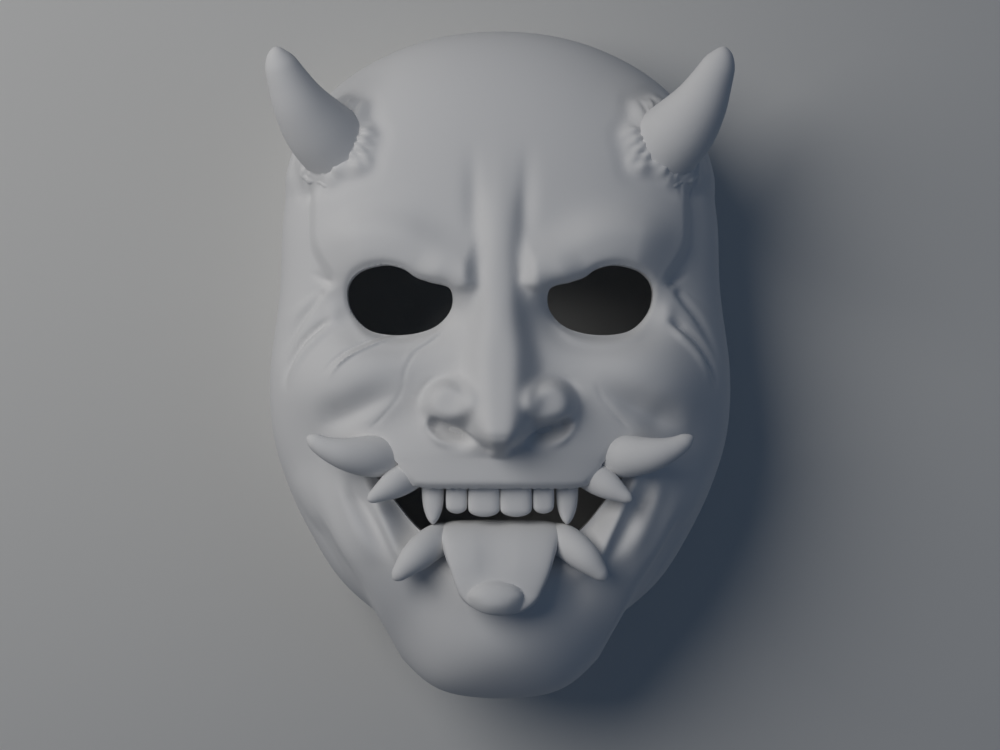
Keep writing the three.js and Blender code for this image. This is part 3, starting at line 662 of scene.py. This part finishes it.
def cutter(outline, low=20.0, high=150.0):
    """A straight prism over an outline seen from the front."""
    line = curve_through(outline, 12, closed=True)
    n = len(line)
    area = (line[:, 0] * np.roll(line[:, 1], -1) - np.roll(line[:, 0], -1) * line[:, 1]).sum()
    line = line if area > 0 else line[::-1]
    points = np.vstack([np.column_stack([line, np.full(n, z)]) for z in (low, high)])
    k = np.arange(n)
    sides = np.column_stack([k, (k + 1) % n, (k + 1) % n + n, k + n])
    return points, [k[::-1].tolist(), (k + n).tolist(), *sides.tolist()]


def mesh_object(name, form):
    """A Blender object from points in drawn millimetres and faces."""
    points, faces = form
    mesh = bpy.data.meshes.new(name)
    mesh.from_pydata(points.tolist(), [], faces)
    mesh.update()
    made = bpy.data.objects.new(name, mesh)
    bpy.context.scene.collection.objects.link(made)
    return made


def apply_modifiers(made):
    """Replaces an object's mesh by the one its modifiers give."""
    graph = bpy.context.evaluated_depsgraph_get()
    mesh = bpy.data.meshes.new_from_object(made.evaluated_get(graph))
    old = made.data
    made.modifiers.clear()
    made.data = mesh
    bpy.data.meshes.remove(old)


def combine(made, others, operation):
    """Joins solids to an object, or cuts them out of it, and removes them."""
    for other in others:
        modifier = made.modifiers.new("combine", "BOOLEAN")
        modifier.operation = operation
        modifier.solver = "MANIFOLD"
        modifier.object = other
    apply_modifiers(made)
    for other in others:
        bpy.data.objects.remove(other)


def thin(made, triangles):
    """Thins a mesh to so many triangles, taking them where it is flattest."""
    modifier = made.modifiers.new("thin", "DECIMATE")
    modifier.ratio = triangles / sum(len(p.vertices) - 2 for p in made.data.polygons)
    apply_modifiers(made)


def both_sides(form):
    """A form and its mirror image."""
    return [form, mirrored(form)]


def make_mask():
    """The whole casting as one closed mesh."""
    wall, hollow = hollow_face(rows=420, columns=300, coarseness=4, pull=0.3)
    mask = mesh_object("mask", wall)
    thin(mask, WALL_TRIANGLES)
    eye_left = [(-x, y) for x, y in EYE]
    combine(mask, [mesh_object("opening", cutter(line)) for line in (EYE, eye_left, MOUTH)], "DIFFERENCE")
    rooted = [
        *both_sides(swept(HORN, (0, 0, 1), rings=70, around=72, tip=0.13)),
        *both_sides(collar()),
        *both_sides(swept(TUSK, (0, 0, 1), rings=56, around=48, tip=0.07)),
        *both_sides(swept(FANG, (0, 0, 1), rings=44, around=40, tip=0.06)),
        *both_sides(swept(LOWER_TUSK, (0, 0, 1), rings=44, around=40, tip=0.08)),
    ]
    roots = [mesh_object("rooted", form) for form in rooted]
    combine(roots[0], roots[1:], "UNION")
    combine(roots[0], [mesh_object("hollow", hollow)], "DIFFERENCE")
    in_mouth = [form for row in TEETH for form in both_sides(tooth(*row))]
    tongue = swept(
        TONGUE, (1, 0, 0), rings=110, around=96, power=4.2, tip=0.17, tail=0.04, shape=tongue_shape)
    in_mouth.append(tongue)
    combine(mask, [roots[0], *(mesh_object("in_mouth", form) for form in in_mouth)], "UNION")
    return mask


def fit_to_frame(mask):
    """Turns drawn millimetres into the frame's metres, so that the mask fills its solid's box along Y."""
    mesh = mask.data
    points = np.empty(3 * len(mesh.vertices))
    mesh.vertices.foreach_get("co", points)
    points = points.reshape(-1, 3)
    low, high = (np.array(corner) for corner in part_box("oni_mask"))
    unit = (high[1] - low[1]) / (points[:, 1].max() - points[:, 1].min())
    shift = np.array([0, high[1] - unit * points[:, 1].max(), low[2] - unit * points[:, 2].min()])
    mesh.vertices.foreach_set("co", (points * unit + shift).ravel())
    mesh.update()
    return unit, shift


def merge_slivers(mesh):
    """Merges the corners that the joins leave side by side, and takes out faces folded on one another."""
    work = bmesh.new()
    work.from_mesh(mesh)
    bmesh.ops.triangulate(work, faces=work.faces)
    bmesh.ops.remove_doubles(work, verts=work.verts, dist=SLIVER)
    bmesh.ops.dissolve_degenerate(work, dist=SLIVER, edges=work.edges)
    bmesh.ops.triangulate(work, faces=work.faces)
    folded = [
        face for face in work.faces
        if len({other for edge in face.edges for other in edge.link_faces if other is not face}) == 1]
    bmesh.ops.delete(work, geom=folded, context="FACES")
    bmesh.ops.delete(work, geom=[edge for edge in work.edges if edge.is_wire], context="EDGES")
    bmesh.ops.delete(work, geom=[corner for corner in work.verts if not corner.link_faces], context="VERTS")
    work.to_mesh(mesh)
    work.free()


def finish_mesh(mask):
    """Shades the mesh smooth up to crisp edges."""
    merge_slivers(mask.data)
    mask.data.polygons.foreach_set("use_smooth", np.ones(len(mask.data.polygons), bool))
    mask.data.set_sharp_from_angle(angle=np.radians(SHARP_ANGLE))


def linear(hex_colour):
    """An sRGB hex value as linear red, green, blue and alpha."""
    value = np.array([int(hex_colour[i:i + 2], 16) for i in (1, 3, 5)]) / 255
    value = np.where(value <= 0.04045, value / 12.92, ((value + 0.055) / 1.055) ** 2.4)
    return (*value.tolist(), 1.0)


def add_node(tree, kind, settings=(), links=(), **values):
    """A node with its settings, its links from other sockets and its inputs' values."""
    node = tree.nodes.new(kind)
    for key, value in dict(settings).items():
        setattr(node, key, value)
    for key, value in values.items():
        node.inputs[key.replace("_", " ")].default_value = value
    for key, socket in dict(links).items():
        tree.links.new(socket, node.inputs[key])
    return node


def cast_resin():
    """Unpainted cast polyurethane, light cool grey: a dull sheen, faint mottling, a skin like eggshell."""
    material = bpy.data.materials.new("cast_resin")
    material.use_nodes = True
    tree = material.node_tree
    shader = tree.nodes["Principled BSDF"]
    shader.inputs["IOR"].default_value = 1.5
    shader.inputs["Specular IOR Level"].default_value = 0.42
    place = add_node(tree, "ShaderNodeTexCoord").outputs["Object"]
    # clouds about 45 mm across, as pigment settles in the mould
    clouds = add_node(
        tree, "ShaderNodeTexNoise", links={"Vector": place}, Scale=22.0, Detail=3.0, Roughness=0.55)
    # specks about 3 mm across, the handling marks that break up the sheen
    specks = add_node(
        tree, "ShaderNodeTexNoise", links={"Vector": place}, Scale=340.0, Detail=4.0, Roughness=0.6)
    # the skin's texture, about 0.9 mm across, drawn coarser than real so that it shows
    grain = add_node(
        tree, "ShaderNodeTexNoise", links={"Vector": place}, Scale=1100.0, Detail=2.0, Roughness=0.5)
    colour = add_node(
        tree, "ShaderNodeValToRGB", links={"Fac": clouds.outputs["Fac"]})
    colour.color_ramp.elements[0].position = 0.35
    colour.color_ramp.elements[0].color = linear("#979aa0")
    colour.color_ramp.elements[1].position = 0.65
    colour.color_ramp.elements[1].color = linear("#a0a3a9")
    tint = add_node(
        tree, "ShaderNodeMapRange", links={"Value": specks.outputs["Fac"]},
        From_Min=0.3, From_Max=0.7, To_Min=0.965, To_Max=1.02)
    shade = add_node(
        tree, "ShaderNodeMix", settings={"data_type": "RGBA", "blend_type": "MULTIPLY"})
    shade.inputs["Factor"].default_value = 1.0
    tree.links.new(colour.outputs["Color"], shade.inputs["A"])
    tree.links.new(tint.outputs["Result"], shade.inputs["B"])
    tree.links.new(shade.outputs["Result"], shader.inputs["Base Color"])
    dull = add_node(
        tree, "ShaderNodeMapRange", links={"Value": specks.outputs["Fac"]},
        From_Min=0.3, From_Max=0.7, To_Min=0.46, To_Max=0.60)
    tree.links.new(dull.outputs["Result"], shader.inputs["Roughness"])
    skin_bump = add_node(
        tree, "ShaderNodeBump", links={"Height": grain.outputs["Fac"]}, Strength=0.12, Distance=0.0002)
    wave_bump = add_node(
        tree, "ShaderNodeBump",
        links={"Height": specks.outputs["Fac"], "Normal": skin_bump.outputs["Normal"]},
        Strength=0.18, Distance=0.0005)
    tree.links.new(wave_bump.outputs["Normal"], shader.inputs["Normal"])
    return material


def plain_floor():
    """A pale matt floor."""
    size = 4.0
    points = np.array([(-size, -size, 0), (size, -size, 0), (size, size, 0), (-size, size, 0)])
    floor = mesh_object("floor", (points, [[0, 1, 2, 3]]))
    material = bpy.data.materials.new("pale_floor")
    material.use_nodes = True
    shader = material.node_tree.nodes["Principled BSDF"]
    shader.inputs["Base Color"].default_value = linear("#d9d9d7")
    shader.inputs["Roughness"].default_value = 0.85
    floor.data.materials.append(material)


def soft_light(name, place, target, size, power, colour):
    """A round area light turned towards a target."""
    lamp = bpy.data.lights.new(name, "AREA")
    lamp.shape = "DISK"
    lamp.size = size
    lamp.energy = power
    lamp.color = colour
    made = bpy.data.objects.new(name, lamp)
    made.location = place
    made.rotation_euler = (Vector(target) - made.location).to_track_quat("-Z", "Y").to_euler()
    bpy.context.scene.collection.objects.link(made)


def camera_above(unit, shift):
    """The camera looks straight down on the lying mask, at the photograph's distance and lens."""
    data = bpy.data.cameras.new("camera")
    data.lens = LENS
    data.sensor_width = SENSOR
    camera = bpy.data.objects.new("camera", data)
    camera.location = (0, shift[1], CAMERA_HEIGHT * unit)
    bpy.context.scene.collection.objects.link(camera)
    bpy.context.scene.camera = camera


def studio_light():
    """A large warm light above the left of the forehead, a weak cool one from the right, and a dim room."""
    soft_light("key", (-0.44, 0.28, 0.67), (0, 0, 0.05), 0.6, 2.9, (1.0, 0.975, 0.945))
    soft_light("fill", (0.9, 0.0, 0.8), (0, 0, 0.05), 1.0, 0.4, (0.38, 0.62, 1.0))
    world = bpy.data.worlds.new("studio")
    world.use_nodes = True
    sky = world.node_tree.nodes["Background"]
    sky.inputs["Color"].default_value = (0.38, 0.54, 0.82, 1)
    sky.inputs["Strength"].default_value = 0.075
    bpy.context.scene.world = world
    bpy.context.scene.view_settings.view_transform = "Standard"


mask = make_mask()
unit, shift = fit_to_frame(mask)
finish_mesh(mask)
mask.data.materials.append(cast_resin())
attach(mask, "root")
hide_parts("oni_mask")
plain_floor()
studio_light()
camera_above(unit, shift)
